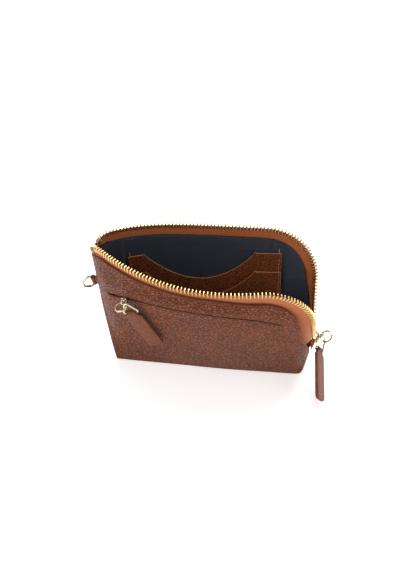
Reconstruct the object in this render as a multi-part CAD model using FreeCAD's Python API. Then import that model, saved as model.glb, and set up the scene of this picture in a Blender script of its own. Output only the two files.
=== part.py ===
"""Small zippered leather pouch, standing on its base with the mouth open.

Frame: X runs along the pouch from its left zip end to its right one, -Y is the front,
+Z is up.  The origin is the middle of the base, on the surface the pouch stands on.
The zip runs from the top of the left side, along the top, round the large right corner
and down the right side.  Each lip of the mouth is a curve in space; every sheet of the
pouch is worked out from the two lips and the straight folds of the base.
"""
import FreeCAD
import Part
import os
from math import acos, cos, pi, radians, sin, sqrt

V = FreeCAD.Vector
os.makedirs("parts", exist_ok=True)

# ---- driving dimensions, millimetres and degrees -------------------------------------
base_left = -66.0          # left end of the base folds
base_right = 72.0          # right end of the base folds
base_half = 15.0           # half the depth of the base
height = 106.0             # panel height from the base fold to the zip, mouth closed
left_corner_r = 13.0       # radius of the zip round the top left corner
right_corner_r = 36.0      # radius of the zip round the top right corner
left_end_x = -76.8         # where the two rows meet at the left
right_end_x = 80.0         # where the two rows meet at the right
right_end_z = 34.0         # height of the right end of the zip
left_start = 150.0         # angle on the left corner arc at which the zip begins
end_y_left = -12.0         # depth position of the left zip end
end_y_right = -6.0         # depth position of the right zip end
front_open = 45.0          # how far the front lip stands out of the line of the ends
back_open = 25.0           # how far the back lip stands behind that line
front_lean = 0.87          # share of the front opening that lowers the front lip
back_lean = 0.2            # share of the back opening that lowers the back lip
mouth_draw = 2.5           # how far the open mouth pulls the lips to the left

leather_t = 1.3            # thickness of the shell leather
lining_t = 0.5             # thickness of the lining fabric
tape_t = 0.7               # thickness of the zip tape
board_t = 1.2              # thickness of the stiffener in the base
ply_gap = 0.12             # clearance between neighbouring plies
seam_room = 0.45           # extra room for the tape under the turned leather edges
belly = 3.2                # room between front leather and front lining for the pocket

tooth_pitch = 2.5          # pitch of one row of teeth
tooth_long = 3.7           # tooth length across the tape edge
tooth_wide = 1.25          # tooth width along the chain
tooth_deep = 2.6           # tooth depth through the tape
tape_tuck = 2.0            # tape tucked under the leather edge
tape_gap = 2.12            # chain middle to the tape's outer edge
edge_front_left = 5.5      # front leather edge to chain, left half
edge_front_right = 9.5     # front leather edge to chain, right half
edge_back = 6.0            # back leather edge to chain
lining_edge = 8.0          # lining edge to chain

slit_start = 0.085         # left end of the pocket opening, as a share of the front lip
slit_end = 0.655           # right end of the pocket opening
slit_open = 2.5            # width of the pocket opening
pocket_pitch = 2.0         # pitch of the pocket zip teeth

tab_long = 38.0            # leather puller length
tab_wide = 12.0            # leather puller width
tab_thick = 2.4            # leather puller thickness, two layers
ring_r = 4.2               # centre-line radius of a puller ring
wire_r = 0.75              # wire radius of puller rings and links
link_long = 8.5            # length of a triangular puller link
pin_clear = 0.2            # play between linked wires

dring_inner = 9.0          # clear width of the D-ring
dring_wire_r = 0.95        # wire radius of the D-ring

card_left = -57.0          # left edge of the card pocket on the back lining
card_right = 55.0          # right edge of the card pocket
card_drop = 15.5           # how much lower the front card slot sits
card_t = 1.0               # thickness of the card pocket leather
card_scoop = 23.0          # depth of the thumb scoop
scoop_middle = -4.5        # middle of the scoop
scoop_half = 41.0          # half its width


# ---- small helpers --------------------------------------------------------------------
def smooth(value):
    """0 below 0, 1 above 1, and a smooth step between."""
    value = min(max(value, 0.0), 1.0)
    return value * value * (3.0 - 2.0 * value)


def span(first, last, count):
    """Evenly spaced values from first to last."""
    return [first + (last - first) * k / (count - 1) for k in range(count)]


def unit(vector):
    """The vector at length one."""
    return vector.normalize() if vector.Length > 1e-9 else V(0, 0, 1)


def mix(a, b, share):
    """The point a share of the way from a to b."""
    return a + (b - a) * share


# ---- the flat outline of the zip, as when the pouch is closed -------------------------
left_centre = V(left_end_x - left_corner_r * cos(radians(left_start)), 0, height - left_corner_r)
right_centre = V(right_end_x - right_corner_r, 0, height - right_corner_r)
arc_left = left_corner_r * radians(left_start - 90.0)
top_run = right_centre.x - left_centre.x
arc_right = right_corner_r * pi / 2
side_run = right_centre.z - right_end_z
outline_length = arc_left + top_run + arc_right + side_run


def outline(u):
    """Point (x, height) of the closed zip at share u of its length."""
    s = u * outline_length
    if s < arc_left:
        angle = radians(left_start) - s / left_corner_r
        return left_centre.x + left_corner_r * cos(angle), left_centre.z + left_corner_r * sin(angle)
    s -= arc_left
    if s < top_run:
        return left_centre.x + s, height
    s -= top_run
    if s < arc_right:
        angle = pi / 2 - s / right_corner_r
        return right_centre.x + right_corner_r * cos(angle), right_centre.z + right_corner_r * sin(angle)
    return right_end_x, right_centre.z - (s - arc_right)


def lip(u, side):
    """Point of the open zip chain; side is -1 for the front lip and +1 for the back."""
    x, tall = outline(u)
    ends = end_y_left + (end_y_right - end_y_left) * u
    if side < 0:
        share = min(max(u, 0.0), 1.0)
        wave = max(sin(pi * share ** (0.82 + 0.18 * share)), 0.0)
        y = ends - front_open * wave ** (1.0 - 0.35 * share)
    else:
        y = ends + back_open * (1.0 - abs(2.0 * u - 1.0) ** (4.4 - 1.6 * u))
    lean = (y - ends) * (front_lean if side < 0 else back_lean)
    return V(x - mouth_draw * sin(pi * u), y, sqrt(tall * tall - lean * lean))


def fold(u, side):
    """Point of the base fold that the panel line at share u runs down to."""
    x, tall = outline(u)
    drop = 0.35 * (height - tall) if x > 0 else 0.0
    full = right_end_x - left_end_x + 0.35 * (height - right_end_z)
    share = (x - left_end_x + drop) / full
    return V(base_left + (base_right - base_left) * share, side * base_half, 0)


def laid(x, tall, side):
    """Where flat point (x, height) of a panel lies on the open pouch, and its ruling."""
    low_u = 0.0
    high_u = 1.0
    for _ in range(26):
        u = (low_u + high_u) / 2
        edge_x, edge_tall = outline(u)
        foot_x = fold(u, side).x
        if foot_x + (edge_x - foot_x) * tall / edge_tall < x:
            low_u = u
        else:
            high_u = u
    share = tall / outline(u)[1]
    return mix(fold(u, side), lip(u, side), share), u, share


def outward(x, tall, side):
    """Outward normal of the panel at a flat point."""
    reach = 0.4
    across = laid(x + reach, tall, side)[0] - laid(x - reach, tall, side)[0]
    upward = laid(x, tall + reach, side)[0] - laid(x, tall - reach, side)[0]
    return unit(across.cross(upward)) * -side


def flat_inset(u, distance):
    """Flat point a distance inside the zip line."""
    s = u * outline_length
    if s < arc_left:
        angle = radians(left_start) - s / left_corner_r
        radius = left_corner_r - distance
        return left_centre.x + radius * cos(angle), left_centre.z + radius * sin(angle)
    s -= arc_left
    if s < top_run:
        return left_centre.x + s, height - distance
    s -= top_run
    if s < arc_right:
        angle = pi / 2 - s / right_corner_r
        radius = right_corner_r - distance
        return right_centre.x + radius * cos(angle), right_centre.z + radius * sin(angle)
    return right_end_x - distance, right_centre.z - (s - arc_right)


def flat_ruling(u, share):
    """Flat point a share of the way up the ruling at share u of the zip."""
    x, tall = outline(u)
    foot_x = fold(u, -1).x
    return foot_x + (x - foot_x) * share, tall * share


def flat_mix(a, b, share):
    """Flat point a share of the way from a to b."""
    return a[0] + (b[0] - a[0]) * share, a[1] + (b[1] - a[1]) * share


def beside_zip(u, side, distance):
    """Flat point that lies a distance inside the zip line on the open pouch."""
    flat = distance
    for _ in range(5):
        x, tall = flat_inset(u, flat)
        real = (lip(u, side) - laid(x, tall, side)[0]).Length
        flat = min(flat * distance / real, distance)
    return flat_inset(u, flat)


def top_edge(u, side, distance):
    """Flat upper edge of a ply: it runs beside the zip and turns out to both side seams."""
    here = beside_zip(u, side, distance)
    if u < 0.05:
        seam = flat_ruling(0.0, 1.0 - 0.7 * distance / outline(0.0)[1])
        here = flat_mix(here, seam, smooth(1.0 - u / 0.05))
    if u > 0.94:
        seam = flat_ruling(1.0, 1.0 - 1.54 * distance / right_end_z)
        here = flat_mix(here, seam, smooth((u - 0.94) / 0.06))
    return here


def frame_at(u, side):
    """Chain point with unit vectors along the chain, off the panel and outwards."""
    step = 0.004
    along = unit(lip(min(u + step, 1.0), side) - lip(max(u - step, 0.0), side))
    x, tall = beside_zip(u, side, tape_gap)
    away = lip(u, side) - laid(x, tall, side)[0]
    away = unit(away - along * away.dot(along))
    normal = along.cross(away) * -side
    return lip(u, side), along, away, normal


def grid_solid(inner, outer):
    """Closed solid between two grids of points with the same layout."""
    faces = []
    for grid in (inner, outer):
        surface = Part.BSplineSurface()
        surface.interpolate(grid)
        faces.append(surface)
    shells = [faces[0].toShape(), faces[1].toShape()]
    for pick in (lambda s: s.uIso(s.bounds()[0]), lambda s: s.uIso(s.bounds()[1]),
                 lambda s: s.vIso(s.bounds()[2]), lambda s: s.vIso(s.bounds()[3])):
        edges = [pick(face).toShape() for face in faces]
        shells.append(Part.makeRuledSurface(edges[0], edges[1]))
    compound = Part.makeCompound(shells)
    compound.sewShape(0.01)
    shell = compound.Shells[0] if compound.Shells else Part.makeShell(compound.Faces)
    solid = Part.makeSolid(shell)
    if solid.Volume < 0:
        solid.reverse()
    return solid


def sheet(low, high, us, shares, start, thick, side):
    """Ply cut flat between two curves and laid on a panel, from start to start + thick out."""
    inner = []
    outer = []
    for u in us:
        row_in = []
        row_out = []
        for share in shares:
            x, tall = flat_mix(low(u), high(u), share)
            point, ruling, rise = laid(x, tall, side)
            normal = outward(x, tall, side)
            offset = start(ruling, rise) if callable(start) else start
            row_in.append(point + normal * offset)
            row_out.append(point + normal * (offset + thick))
        inner.append(row_in)
        outer.append(row_out)
    return grid_solid(inner, outer)


nodes = {}


def keep(name, solids):
    """Remember the solids of one node."""
    nodes[name] = solids if isinstance(solids, list) else [solids]


# ---- lining, shell and tape: one family of plies --------------------------------------
# offsets from the tape's middle plane, outwards positive
leather_in = tape_t / 2 + ply_gap + seam_room
lining_in = -(tape_t / 2 + ply_gap + lining_t)
us_all = span(0.0, 1.0, 49)


def edge_front(u):
    """Distance from the chain to the front leather edge."""
    return edge_front_left + (edge_front_right - edge_front_left) * smooth((u - 0.42) / 0.16)


def tape_edge(u, side):
    """Distance from the chain to the tape's hidden edge."""
    return (edge_front(u) if side < 0 else lining_edge) + tape_tuck


# ---- the pocket opening: an arc across the front, so that its slider can run along it --
def ruled_front(u, share):
    """Point of the bare front panel a share of the way up."""
    return mix(fold(u, -1), lip(u, -1), share)


slit_rise = 0.50           # rise and fall of the opening, as height shares of the panel
slit_fall = 0.48
slit_low = 0.70            # height share of the opening at its left end
slit_last = 0.45           # height share of its line at the right seam


def arc_point(share):
    """Point of the bare panel that the opening's arc passes through."""
    u = slit_start + (slit_end - slit_start) * share
    return ruled_front(u, slit_low + slit_rise * share - slit_fall * share * share)


arc_a = arc_point(0.12)
arc_b = arc_point(0.50)
arc_c = arc_point(0.85)
slit_circle = Part.Circle(arc_a, arc_b, arc_c)
slit_centre = slit_circle.Center
slit_axis = unit((arc_b - arc_a).cross(arc_c - arc_b))
slit_radius = slit_circle.Radius


def arc_angle(point):
    """Angle round the arc's centre, from its first point."""
    spoke = unit(point - slit_centre)
    first = unit(arc_a - slit_centre)
    turn = acos(min(spoke.dot(first), 1.0))
    return turn if first.cross(spoke).dot(slit_axis) >= 0 else -turn


def on_arc(angle):
    """Point of the opening's arc at an angle from its first point."""
    first = unit(arc_a - slit_centre)
    return slit_centre + (first * cos(angle) + slit_axis.cross(first) * sin(angle)) * slit_radius


def arc_share(u):
    """Height share at which the ruling at share u passes closest to the arc."""
    foot = fold(u, -1)
    line = lip(u, -1) - foot
    share = (slit_centre - foot).dot(slit_axis) / line.dot(slit_axis)
    spoke = foot + line * share - slit_centre
    beyond = spoke.Length - slit_radius
    spoke = unit(spoke)
    along = slit_axis.cross(spoke)
    up = unit(line - along * line.dot(along))
    return share - beyond * spoke.dot(up) / line.dot(up)


def slit_share(u):
    """Height share of the opening's line, carried on to both side seams."""
    if u < slit_start:
        return arc_share(slit_start)
    if u > slit_end:
        high = arc_share(slit_end)
        return high - (high - slit_last) * smooth((u - slit_end) / (1 - slit_end))
    return arc_share(u)


slit_first = arc_angle(ruled_front(slit_start, slit_share(slit_start)))
slit_sweep = arc_angle(ruled_front(slit_end, slit_share(slit_end))) - slit_first


def gap_half(u):
    """Half the width of the pocket opening; beyond its ends only a narrow clearance."""
    inside = smooth((u - slit_start + 0.03) / 0.03) * smooth((slit_end + 0.03 - u) / 0.03)
    shut = 0.24 + 0.36 * smooth((slit_end - u) / 0.2)
    return shut + (slit_open / 2 - shut) * inside


def beside_slit(u, rise):
    """Flat point a distance above (or, negative, below) the line of the pocket opening."""
    step = 0.004
    before = flat_ruling(max(u - step, 0.0), slit_share(max(u - step, 0.0)))
    after = flat_ruling(min(u + step, 1.0), slit_share(min(u + step, 1.0)))
    run = V(after[0] - before[0], 0, after[1] - before[1]).normalize()
    x, tall = flat_ruling(u, slit_share(u))
    return x - run.z * rise, tall + run.x * rise


def slit_edge(u, way):
    """Flat edge of the leather below (way -1) or above (way +1) the pocket opening."""
    return beside_slit(u, gap_half(u) * way)


def paired(u):
    """Share of the opening's line that the upper piece's line at share u starts from."""
    return u - 0.117 * smooth((u - 0.52) / 0.26) * smooth((1.0 - u) / 0.08)


def room(u, share):
    """Extra room for the pocket between leather and lining at a ruling and height share."""
    middle = slit_share(u)
    if share < middle:
        rise = smooth(share / middle * 1.3)
    else:
        rise = 1.0 - smooth(((share - middle) / (0.93 - middle) - 0.3) / 0.7)
    return leather_in + belly * smooth(u / 0.08) * smooth((1.0 - u) / 0.25) * rise


floor_clear = 1.1          # height of the panels' lower edges above the floor
shares = span(0.0, 1.0, 9)

def fold_edge(u, lift):
    """Flat lower edge of a ply, lifted off the base fold."""
    return flat_ruling(u, lift / outline(u)[1])


keep("front_panel", sheet(
    lambda u: fold_edge(u, floor_clear), lambda u: slit_edge(u, -1), us_all, shares, room, leather_t, -1))
keep("front_yoke", sheet(
    lambda u: slit_edge(paired(u), 1), lambda u: top_edge(u, -1, edge_front(u)), us_all, shares,
    room, leather_t, -1))
keep("back_panel", sheet(
    lambda u: fold_edge(u, floor_clear), lambda u: top_edge(u, 1, edge_back), us_all, shares,
    leather_in, leather_t, 1))

base_stack = leather_t + board_t + lining_t + 3 * ply_gap
for name, side in (("front_lining", -1), ("back_lining", 1)):
    keep(name, sheet(
        lambda u: fold_edge(u, base_stack + 0.5), lambda u, side=side: top_edge(u, side, lining_edge),
        span(0.006, 0.994, 49), shares, lining_in, lining_t, side))

for name, side in (("front_zip_tape", -1), ("back_zip_tape", 1)):
    keep(name, sheet(
        lambda u, side=side: beside_zip(u, side, tape_edge(u, side)),
        lambda u, side=side: beside_zip(u, side, tape_gap + 2 * ply_gap + 0.5 * smooth((u - 0.84) / 0.1)),
        span(0.004, 0.982, 49), span(0.0, 1.0, 3), -tape_t / 2, tape_t, side))


# ---- base: leather, board and lining, lying flat on each other -------------------------
def base_plate(low, thick, margin):
    """Flat plate with round corners that leaves a margin inside the base folds."""
    corner = 6.0
    long = base_right - base_left - 2 * margin
    deep = 2 * (base_half - margin)
    plate = Part.makeBox(long, deep, thick, V(base_left + margin, -deep / 2, low))
    return plate.makeFillet(corner, [e for e in plate.Edges if abs(e.tangentAt(0).z) > 0.9])


keep("base_panel", base_plate(0.0, leather_t, 2.5 * ply_gap - leather_in))
keep("base_board", base_plate(leather_t + ply_gap, board_t, 1.5))
keep("base_lining", base_plate(leather_t + board_t + 2 * ply_gap, lining_t, 0.9))


# ---- side gussets: triangles from the base up to the zip ends --------------------------
def gusset(u, out, start, thick, low, high, side_clear):
    """Triangular ply between the side edges of the panels; out is its outward X sign."""
    tip = lip(u, 1)
    normal = V(out, 0, 0)
    inner = []
    outer = []
    for share in span(low, high, 7):
        front = mix(fold(u, -1), tip, share)
        back = mix(fold(u, 1), tip, share)
        clear = V(0, side_clear, 0)
        row = [mix(front + clear, back - clear, t) for t in span(0.0, 1.0, 5)]
        inner.append([p + normal * start for p in row])
        outer.append([p + normal * (start + thick) for p in row])
    return grid_solid(inner, outer)


lining_low = 0.045
keep("left_gusset", gusset(0.0, -1, ply_gap, leather_t, 0.02, 0.90, 0.15))
keep("right_gusset", gusset(1.0, 1, ply_gap, leather_t, 0.07, 0.72, 0.15))
keep("left_gusset_lining", gusset(0.0, -1, -3 * ply_gap - lining_t, lining_t, lining_low, 0.88, 1.5))
keep("right_gusset_lining", gusset(1.0, 1, -3 * ply_gap - lining_t, lining_t, 3 * lining_low, 0.72, 1.5))


# ---- zip teeth, stops and the closed tail below the slider -----------------------------
def tooth(centre, along, away, normal, long=tooth_long):
    """One zip tooth: a clamp round the tape edge with a narrower head."""
    half = tooth_wide / 2
    clamp = long * 0.62
    outline_points = [(-half, 0), (half, 0), (half, clamp), (half * 0.7, long), (-half * 0.7, long), (-half, clamp)]
    start = centre - away * (long * 0.55) - normal * (tooth_deep / 2)
    corners = [start + along * a + away * b for a, b in outline_points]
    face = Part.Face(Part.makePolygon(corners + [corners[0]]))
    return face.extrude(normal * tooth_deep)


def chain_shares(side, first, last):
    """Shares at which teeth sit, at the tooth pitch along the lip, with the ends left free."""
    fine = span(0.0, 1.0, 1200)
    travelled = 0.0
    lengths = [0.0]
    for a, b in zip(fine, fine[1:]):
        travelled += (lip(b, side) - lip(a, side)).Length
        lengths.append(travelled)
    picks = []
    place = first
    index = 0
    while place < travelled - last:
        while lengths[index] < place:
            index += 1
        picks.append(fine[index])
        place += tooth_pitch
    return picks


stop_long = 4.0            # length of a top stop along the chain
slider_free = 7.5          # chain length at the right end that the slider covers
for name, side, first in (("front_zip_teeth", -1, 8.6), ("back_zip_teeth", 1, 8.9)):
    row = []
    for u in chain_shares(side, first, slider_free):
        point, along, away, normal = frame_at(u, side)
        row.append(tooth(point, along, away, normal))
    keep(name, row)

stops = []
for side, place in ((-1, 0.012), (1, 0.016)):
    point, along, away, normal = frame_at(place, side)
    point = point + normal * (tooth_deep / 2 + 0.1)
    block = Part.makeBox(stop_long, tooth_long, tooth_deep)
    corner = point - along * (stop_long * 0.2) - away * (tooth_long * 0.55) - normal * (tooth_deep / 2)
    block = block.makeFillet(0.5, block.Edges)
    block.Placement = FreeCAD.Placement(corner, FreeCAD.Rotation(along, away, along.cross(away), "ZXY"))
    stops.append(block)
keep("top_stops", stops)

zip_end = lip(1.0, 1)
tail_down = unit((fold(1.0, -1) + fold(1.0, 1)) * 0.5 - zip_end)
tail_out = unit(tail_down.cross(V(0, 1, 0)))
if tail_out.x < 0:
    tail_out = tail_out * -1
tail_side = tail_out.cross(tail_down)
tail_lift = leather_t + 2 * ply_gap + tooth_deep / 2 + 0.1
tail_start = zip_end + tail_out * tail_lift
tail_length = 14.0         # closed zip below the point where the rows meet
slider_travel = 4.0        # free closed zip between the slider and the bottom stop


def tail_block(low, high, wide, deep, lift=0.0, shift=0.0):
    """Block on the closed tail between two distances below the zip end."""
    block = Part.makeBox(wide, high - low, deep)
    corner = tail_start + tail_down * low - tail_side * (wide / 2 - shift) + tail_out * (lift + deep / 2)
    block.Placement = FreeCAD.Placement(corner, FreeCAD.Rotation(tail_side, tail_down, tail_side.cross(tail_down), "ZXY"))
    return block


keep("zip_tail_tape", [tail_block(4.0, tail_length, 3.0, tape_t, 0.0, 4.6),
                       tail_block(4.0, tail_length, 3.0, tape_t, 0.0, -4.6)])
tail_row = []
for k in range(3):
    for shift in (0.0, 0.5):
        place = 5.8 + (k + shift) * tooth_pitch
        sign = 1 if shift else -1
        tail_row.append(tail_block(place, place + 0.95, tooth_long, tooth_deep * 0.8, 0.0, sign * 0.7))
keep("zip_tail_teeth", tail_row)
keep("bottom_stop", tail_block(tail_length - 0.9, tail_length + 1.0, 5.6, tooth_deep * 0.9))


# ---- wire rings, links and leather pullers ---------------------------------------------
def ring(centre, normal, radius, wire):
    """Round wire ring."""
    return Part.makeTorus(radius, wire, centre, normal)


def wire_loop(corners, wire, bend):
    """Closed wire loop through the corners, with bent corners."""
    count = len(corners)
    edges = []
    ends = []
    for k in range(count):
        before, here, after = corners[k - 1], corners[k], corners[(k + 1) % count]
        into = unit(before - here)
        out_of = unit(after - here)
        half = acos(into.dot(out_of)) / 2
        reach = bend / (sin(half) / cos(half))
        heart = here + unit(into + out_of) * (bend / sin(half))
        middle = heart - unit(into + out_of) * bend
        ends.append((here + into * reach, middle, here + out_of * reach))
    for k in range(count):
        edges.append(Part.Arc(*ends[k]).toShape())
        edges.append(Part.makeLine(ends[k][2], ends[(k + 1) % count][0]))
    start = ends[0][2]
    direction = unit(ends[1][0] - start)
    profile = Part.Wire([Part.makeCircle(wire, start, direction)])
    path = Part.Wire(edges[1:] + edges[:1])
    return path.makePipeShell([profile], True, False)


def puller_tab(bar, length_way, wide_way, long):
    """Leather strap folded round a bar and stitched to itself."""
    face_way = unit(length_way.cross(wide_way))
    neck = tab_wide * 0.62
    roll = wire_r + pin_clear + 0.95
    shoulder = 3.4
    points = [(-neck / 2, 0), (neck / 2, 0), (neck / 2, shoulder - 1.2), (tab_wide / 2, shoulder + 0.8),
              (tab_wide / 2, long - 1.8), (tab_wide / 2 - 1.8, long), (-tab_wide / 2 + 1.8, long),
              (-tab_wide / 2, long - 1.8), (-tab_wide / 2, shoulder + 0.8), (-neck / 2, shoulder - 1.2)]
    start = bar - face_way * (tab_thick / 2)
    corners = [start + wide_way * a + length_way * b for a, b in points]
    strap = Part.Face(Part.makePolygon(corners + [corners[0]])).extrude(face_way * tab_thick)
    eye = Part.makeCylinder(roll, neck, bar - wide_way * (neck / 2), wide_way)
    bore = Part.makeCylinder(wire_r + pin_clear, neck + 2, bar - wide_way * (neck / 2 + 1), wide_way)
    return strap.fuse(eye).cut(bore).removeSplitter()


def link(apex, way, wide_way, long):
    """Triangular wire link from its apex to a bar that a puller hangs on."""
    half = tab_wide * 0.62 / 2 + wire_r + 1.5
    tip = 1.1
    corners = [apex + wide_way * tip, apex - wide_way * tip, apex + way * long - wide_way * half,
               apex + way * long + wide_way * half]
    return wire_loop(corners, wire_r, 0.95)


def puller(prefix, eye_wire, hold, ring_normal, ring_way, link_way, tab_way):
    """Ring, link and tab hung one on the other; gives the hinge point and axis of each."""
    grip = hold + wire_r + pin_clear
    centre = eye_wire + ring_way * (ring_r - grip)
    foot = centre + link_way[0] * ring_r
    tangent = unit(ring_normal.cross(link_way[0]))
    way = link_way[1]
    wide_way = unit(way.cross(tangent))
    apex = foot - way * (2 * wire_r + pin_clear)
    bar = apex + way * link_long
    tab_way = unit(tab_way - wide_way * tab_way.dot(wide_way))
    keep(prefix + "_ring", ring(centre, ring_normal, ring_r, wire_r))
    keep(prefix + "_link", link(apex, way, wide_way, link_long))
    keep(prefix + "_puller_tab", puller_tab(bar, tab_way, wide_way, tab_long))
    return {"ring": (eye_wire, ring_normal), "link": (foot, tangent), "puller_tab": (bar, wide_way)}


# main slider: two plates round the chain, a post between them and a wire bail
slider_long = 10.0
slider_wide = 8.0
plate_t = 0.9
plate_lift = tooth_deep / 2 + 0.25 + plate_t / 2
slider_low = tail_length - 0.9 - slider_travel - slider_long
outer_plate = tail_block(slider_low, slider_low + slider_long, slider_wide, plate_t, plate_lift)
inner_plate = tail_block(slider_low, slider_low + slider_long * 0.45, slider_wide * 0.8, plate_t, -plate_lift)
post = tail_block(slider_low + 0.2, slider_low + 2.2, 1.6, 2 * plate_lift)
bail_r = 2.3
bail_leg = 1.0
bail_wire = 0.7
bail_side = unit(V(0, 0.54, -0.84) - tail_out * V(0, 0.54, -0.84).dot(tail_out))
bail_root = tail_start + tail_down * (slider_low + slider_long * 0.25) + tail_out * (plate_lift + plate_t / 2 - 0.1)


def bail(root, out, across, radius, leg, wire):
    """Wire loop standing on a plate: two legs and a half ring between them."""
    left = root - across * radius
    right = root + across * radius
    path = Part.Wire([Part.makeLine(left, left + out * leg),
                      Part.Arc(left + out * leg, root + out * (leg + radius), right + out * leg).toShape(),
                      Part.makeLine(right + out * leg, right)])
    profile = Part.Wire([Part.makeCircle(wire, left, out)])
    return path.makePipeShell([profile], True, False)


main_slider = outer_plate.fuse([inner_plate, post, bail(bail_root, tail_out, bail_side, bail_r, bail_leg, bail_wire)])
keep("main_slider", main_slider)
main_normal = unit(tail_out * 0.6 + bail_side * 0.8)
main_eye = bail_root + tail_out * bail_leg + (tail_out * 0.8 - bail_side * 0.6) * bail_r


def square_to(vector, normal):
    """The vector with its part along the normal taken out, at length one."""
    return unit(vector - normal * vector.dot(normal))


main_down = square_to(V(0.28, 0.2, -0.95), main_normal)
main_joint = puller("main", main_eye, bail_wire, main_normal, square_to(V(0.9, -0.6, -0.1), main_normal),
                    (main_down, main_down), V(0.08, -0.86, -0.47))

# pocket zip: tapes and teeth behind the opening, and a slider whose bail stands outside
pocket_us = span(slit_start - 0.03, slit_end + 0.03, 33)
pocket_depth = 2.3         # tape plane behind the back of the leather


def slit_frame(u):
    """Point of the opening's arc with unit vectors along it, up the panel and outwards."""
    step = 0.004
    angle = arc_angle(ruled_front(u, slit_share(u)))
    along = unit(on_arc(angle + step) - on_arc(angle - step))
    up = unit(lip(u, -1) - fold(u, -1))
    normal = unit(along.cross(up))
    up = unit(normal.cross(along))
    return on_arc(angle), along, up, normal


pocket_tape_t = 0.5        # thickness of the pocket zip tape
tape_in = pocket_depth + pocket_tape_t


def pocket_room(u, share):
    """Offset of the pocket zip tape's inner face, behind the leather."""
    return room(u, share) - tape_in


for name, low, high in (("pocket_zip_tape_upper", 1.5, 6.0), ("pocket_zip_tape_lower", -6.5, -1.5)):
    keep(name, sheet(
        lambda u, low=low: beside_slit(u, low), lambda u, high=high: beside_slit(u, high),
        pocket_us, span(0.0, 1.0, 4), pocket_room, pocket_tape_t, -1))
pocket_teeth = []
arc_length = slit_radius * slit_sweep
pocket_count = int(arc_length / pocket_pitch)
for k in range(1, pocket_count):
    for way in (-1, 1):
        share = (k + (0.25 if way > 0 else -0.25)) / pocket_count
        u = slit_start + (slit_end - slit_start) * share
        along, up, normal = slit_frame(u)[1:]
        x, tall = beside_slit(u, 0.35 * way)
        point = laid(x, tall, -1)[0] + normal * (pocket_room(u, slit_share(u)) - 0.5)
        body = Part.makeBox(0.7, 2.0, 1.2)
        body.Placement = FreeCAD.Placement(point - along * 0.35 - up,
                                           FreeCAD.Rotation(along, up, along.cross(up), "ZXY"))
        pocket_teeth.append(body)
keep("pocket_zip_teeth", pocket_teeth)
keep("pocket_bag", sheet(
    lambda u: flat_ruling(u, 0.16), lambda u: flat_ruling(u, 0.92 * slit_share(u)),
    span(0.06, 0.70, 33), shares, leather_in - 0.35, 0.3, -1))

pocket_angle = radians(7.5)
slider_u = slit_start + (slit_end - slit_start) * pocket_angle / slit_sweep
sp, s_along = slit_frame(slider_u)[:2]
slider_tilt = radians(-46.0)   # mean slope of the leather along the opening, from its arc's plane
s_out = unit(sp - slit_centre) * cos(slider_tilt) + slit_axis * sin(slider_tilt)
s_up = s_out.cross(s_along)
leather_back = leather_in + belly
leather_face = leather_back + leather_t


def slider_block(long, wide, low, high):
    """Block of the pocket slider, centred on the opening, between two heights."""
    block = Part.makeBox(long, wide, high - low)
    corner = sp - s_along * (long / 2) - s_up * (wide / 2) + s_out * low
    block.Placement = FreeCAD.Placement(corner, FreeCAD.Rotation(s_along, s_up, s_along.cross(s_up), "ZXY"))
    return block


pocket_bail_r = 1.8
pocket_bail_leg = 1.0
pocket_wire = 0.6
pocket_plate = leather_face + 1.85
pocket_root = sp + s_out * (pocket_plate - 0.1)
pocket_slider = slider_block(5.0, 3.0, leather_back - 1.25, leather_back - 0.85)
pocket_slider = pocket_slider.fuse([
    slider_block(2.4, 0.7, leather_back - 1.0, leather_face + 1.25),
    slider_block(3.6, 2 * pocket_bail_r + 2 * pocket_wire, leather_face + 1.15, pocket_plate),
    bail(pocket_root, s_out, s_up, pocket_bail_r, pocket_bail_leg, pocket_wire)])
keep("pocket_slider", pocket_slider)
pocket_eye = pocket_root + s_out * (pocket_bail_leg + pocket_bail_r)
ring_way = unit(s_along * 0.5 + s_out * 0.87)
pocket_wide = V(0.925, -0.135, 0.362)    # across the pocket puller as it lies on the leather
pocket_hang = V(0.373, 0.214, -0.903)    # down its length
link_turn = unit(s_up.cross(pocket_wide))
link_from = link_turn.cross(s_up)
link_way = link_turn.cross(pocket_wide)
pocket_joint = puller("pocket", pocket_eye, pocket_wire, s_up, ring_way, (link_from, link_way),
                      pocket_hang)

# ---- D-ring and its leather tab on the left side seam ----------------------------------
seat_share = 0.70
seat = mix(mix(fold(0.0, -1), fold(0.0, 1), 0.42), lip(0.0, 1), seat_share)
seat_up = unit(lip(0.0, 1) - (fold(0.0, -1) + fold(0.0, 1)) * 0.5)
seat_out = unit(V(-1, 0, 0) - seat_up * V(-1, 0, 0).dot(seat_up))
tab_across = unit(V(0, -0.35, 0.94))
tab_across = square_to(tab_across, seat_out)
tab_face = seat_out.cross(tab_across)
strap_root = leather_t + 2 * ply_gap
strap_reach = 4.6
strap_width = dring_inner - 1.0
dring_bar = seat + seat_out * (strap_root + strap_reach)
strap = Part.makeBox(strap_reach, strap_width, 2.2)
strap_corner = seat + seat_out * strap_root - tab_across * (strap_width / 2) - tab_face * 1.1
strap.Placement = FreeCAD.Placement(strap_corner, FreeCAD.Rotation(seat_out, tab_across, tab_face, "ZXY"))
eye = Part.makeCylinder(2.0, strap_width, dring_bar - tab_across * (strap_width / 2), tab_across)
bore = Part.makeCylinder(dring_wire_r + pin_clear, strap_width + 2, dring_bar - tab_across * (strap_width / 2 + 1), tab_across)
keep("side_tab", strap.fuse(eye).cut(bore).removeSplitter())
half_d = dring_inner / 2 + dring_wire_r
dring_way = square_to(V(-0.75, -0.35, -0.55), tab_across)
dring_corners = [dring_bar + tab_across * half_d, dring_bar - tab_across * half_d,
                 dring_bar - tab_across * half_d + dring_way * 4.0,
                 dring_bar - tab_across * half_d * 0.45 + dring_way * 8.2,
                 dring_bar + tab_across * half_d * 0.45 + dring_way * 8.2,
                 dring_bar + tab_across * half_d + dring_way * 4.0]
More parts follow.
